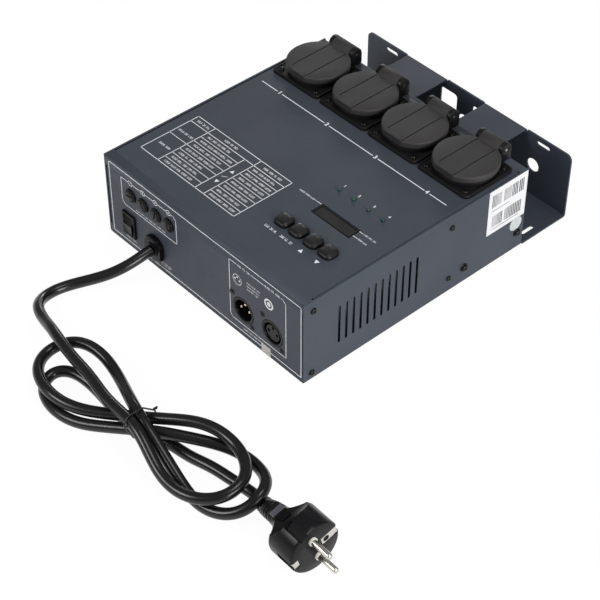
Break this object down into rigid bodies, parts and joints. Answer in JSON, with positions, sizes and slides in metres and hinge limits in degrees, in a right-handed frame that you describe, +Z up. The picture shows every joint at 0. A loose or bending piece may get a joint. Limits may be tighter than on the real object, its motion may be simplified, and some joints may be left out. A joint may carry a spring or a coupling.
{
  "type": "dimmer pack",
  "caption": "Stage dimmer pack: folded steel case with lidded mains sockets, push buttons, fuses, signal connectors, a rear mounting bracket and a tied mains cord with plug.",
  "frame": {"origin": "centre of the case's footprint, on the surface that it stands on", "axes": "+Z up, +Y towards the mounting bracket, the connectors face -Y"},
  "size_m": [0.3906, 0.4509, 0.0961],
  "materials": {
    "coated_steel": "fine-textured dark blue-grey powder coat",
    "black_plastic": "satin black moulding",
    "black_rubber": "soft black jacket, slightly glossy",
    "tie_wire": "black-coated wire",
    "nickel": "nickel-plated brass",
    "spring_steel": "drawn wire",
    "glass_tube": "clear tube",
    "green_lens": "translucent lens",
    "dark_acrylic": "smoked window",
    "circuit_board": "solder mask",
    "aluminium": "extruded"
  },
  "bodies": {
    "case": {"base_pan": "coated_steel", "top_cover": "coated_steel", "display_window": "dark_acrylic", "switch_body": "black_plastic", "signal_in_housing": "black_plastic", "signal_in_insert": "black_plastic", "signal_out_housing": "black_plastic", "signal_out_insert": "black_plastic", "cord_gland": "black_plastic", "cord_lead": "black_rubber", "cord_bundle": "black_rubber", "cord_tie": "tie_wire", "plug_body": "black_rubber", "plug_pin_1": "nickel", "plug_pin_2": "nickel", "plug_earth_strap": "nickel", "control_board": "circuit_board", "power_board": "circuit_board", "heat_sink": "aluminium", "socket_1_housing": "black_plastic", "socket_1_hinge_pin": "spring_steel", "socket_1_lid_spring": "spring_steel", "socket_1_earth_clip": "nickel", "led_1": "green_lens", "fuse_holder_1": "black_plastic", "socket_2_housing": "black_plastic", "socket_2_hinge_pin": "spring_steel", "socket_2_lid_spring": "spring_steel", "socket_2_earth_clip": "nickel", "led_2": "green_lens", "fuse_holder_2": "black_plastic", "socket_3_housing": "black_plastic", "socket_3_hinge_pin": "spring_steel", "socket_3_lid_spring": "spring_steel", "socket_3_earth_clip": "nickel", "led_3": "green_lens", "fuse_holder_3": "black_plastic", "socket_4_housing": "black_plastic", "socket_4_hinge_pin": "spring_steel", "socket_4_lid_spring": "spring_steel", "socket_4_earth_clip": "nickel", "led_4": "green_lens", "fuse_holder_4": "black_plastic"},
    "lid_1": {"socket_1_lid": "black_plastic"},
    "lid_2": {"socket_2_lid": "black_plastic"},
    "lid_3": {"socket_3_lid": "black_plastic"},
    "lid_4": {"socket_4_lid": "black_plastic"},
    "button_1": {"button_1": "black_plastic"},
    "button_2": {"button_2": "black_plastic"},
    "button_3": {"button_3": "black_plastic"},
    "button_4": {"button_4": "black_plastic"},
    "power_rocker": {"switch_rocker": "black_plastic"},
    "fuse_1": {"fuse_1": "glass_tube"},
    "fuse_2": {"fuse_2": "glass_tube"},
    "fuse_3": {"fuse_3": "glass_tube"},
    "fuse_4": {"fuse_4": "glass_tube"},
    "fuse_cap_1": {"fuse_cap_1": "black_plastic"},
    "fuse_cap_2": {"fuse_cap_2": "black_plastic"},
    "fuse_cap_3": {"fuse_cap_3": "black_plastic"},
    "fuse_cap_4": {"fuse_cap_4": "black_plastic"}
  },
  "joints": [
    {"name": "lid_1_hinge", "type": "hinge", "parent": "case", "child": "lid_1", "pos_m": [-0.0855, 0.1113, 0.0903], "axis": [-1, 0, 0], "range_deg": [0, 105], "stiffness_Nm_per_rad": 0.004, "springref_deg": -45.84},
    {"name": "lid_2_hinge", "type": "hinge", "parent": "case", "child": "lid_2", "pos_m": [-0.0285, 0.1113, 0.0903], "axis": [-1, 0, 0], "range_deg": [0, 105], "stiffness_Nm_per_rad": 0.004, "springref_deg": -45.84},
    {"name": "lid_3_hinge", "type": "hinge", "parent": "case", "child": "lid_3", "pos_m": [0.0285, 0.1113, 0.0903], "axis": [-1, 0, 0], "range_deg": [0, 105], "stiffness_Nm_per_rad": 0.004, "springref_deg": -45.84},
    {"name": "lid_4_hinge", "type": "hinge", "parent": "case", "child": "lid_4", "pos_m": [0.0855, 0.1113, 0.0903], "axis": [-1, 0, 0], "range_deg": [0, 105], "stiffness_Nm_per_rad": 0.004, "springref_deg": -45.84},
    {"name": "button_1_press", "type": "slide", "parent": "case", "child": "button_1", "axis": [0, 0, -1], "range_m": [0, 0.0012], "stiffness_N_per_m": 300, "springref_m": -0.0003},
    {"name": "button_2_press", "type": "slide", "parent": "case", "child": "button_2", "axis": [0, 0, -1], "range_m": [0, 0.0012], "stiffness_N_per_m": 300, "springref_m": -0.0003},
    {"name": "button_3_press", "type": "slide", "parent": "case", "child": "button_3", "axis": [0, 0, -1], "range_m": [0, 0.0012], "stiffness_N_per_m": 300, "springref_m": -0.0003},
    {"name": "button_4_press", "type": "slide", "parent": "case", "child": "button_4", "axis": [0, 0, -1], "range_m": [0, 0.0012], "stiffness_N_per_m": 300, "springref_m": -0.0003},
    {"name": "power_rocker_tilt", "type": "hinge", "parent": "case", "child": "power_rocker", "pos_m": [-0.09, -0.1153, 0.0243], "axis": [1, 0, 0], "range_deg": [0, 20]},
    {"name": "fuse_1_pull", "type": "slide", "parent": "case", "child": "fuse_1", "axis": [0, -1, 0], "range_m": [0, 0.028]},
    {"name": "fuse_2_pull", "type": "slide", "parent": "case", "child": "fuse_2", "axis": [0, -1, 0], "range_m": [0, 0.028]},
    {"name": "fuse_3_pull", "type": "slide", "parent": "case", "child": "fuse_3", "axis": [0, -1, 0], "range_m": [0, 0.028]},
    {"name": "fuse_4_pull", "type": "slide", "parent": "case", "child": "fuse_4", "axis": [0, -1, 0], "range_m": [0, 0.028]},
    {"name": "fuse_cap_1_turn", "type": "hinge", "parent": "fuse_1", "child": "fuse_cap_1", "pos_m": [-0.0856, -0.1183, 0.0569], "axis": [0, 1, 0], "range_deg": [0, 60]},
    {"name": "fuse_cap_2_turn", "type": "hinge", "parent": "fuse_2", "child": "fuse_cap_2", "pos_m": [-0.0698, -0.1183, 0.0569], "axis": [0, 1, 0], "range_deg": [0, 60]},
    {"name": "fuse_cap_3_turn", "type": "hinge", "parent": "fuse_3", "child": "fuse_cap_3", "pos_m": [-0.054, -0.1183, 0.0569], "axis": [0, 1, 0], "range_deg": [0, 60]},
    {"name": "fuse_cap_4_turn", "type": "hinge", "parent": "fuse_4", "child": "fuse_cap_4", "pos_m": [-0.0382, -0.1183, 0.0569], "axis": [0, 1, 0], "range_deg": [0, 60]}
  ]
}
